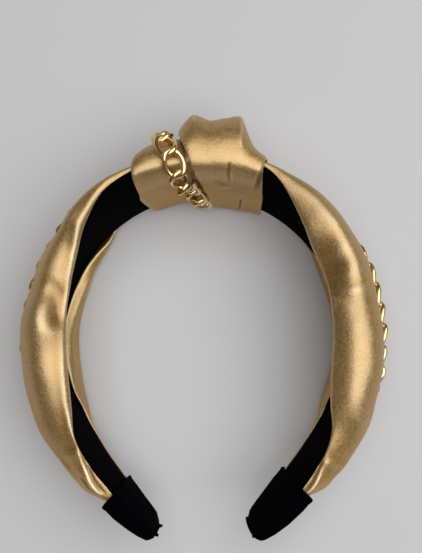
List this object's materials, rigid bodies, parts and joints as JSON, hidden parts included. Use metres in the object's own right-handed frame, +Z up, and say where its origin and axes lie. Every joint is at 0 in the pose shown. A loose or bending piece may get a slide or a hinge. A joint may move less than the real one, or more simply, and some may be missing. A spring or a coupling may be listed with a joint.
{
  "type": "knot headband with chain",
  "caption": "Stiff hair hoop lined in black cloth, dressed in soft gold leather gathered into a knot at the top, with a gold curb chain along its outside and round the knot.",
  "frame": {"origin": "on the table under the middle of the headband, which lies on its back edge", "axes": "+Y from the open ends towards the knot, +Z up out of the hoop towards the front of the headband, +X to the right seen from the front"},
  "size_m": [0.1546, 0.1746, 0.0529],
  "materials": {
    "black_cloth": "matte woven ribbon",
    "gold_leather": "satin metallic imitation leather",
    "gold_chain": "polished plated"
  },
  "bodies": {
    "root": {"inner_band": "black_cloth", "cover_left": "gold_leather", "cover_right": "gold_leather", "knot_under": "gold_leather", "knot_over": "gold_leather", "chain_left": "gold_chain", "chain_right": "gold_chain", "chain_knot": "gold_chain", "tip_sleeve_left": "black_cloth", "tip_sleeve_right": "black_cloth"}
  },
  "joints": []
}
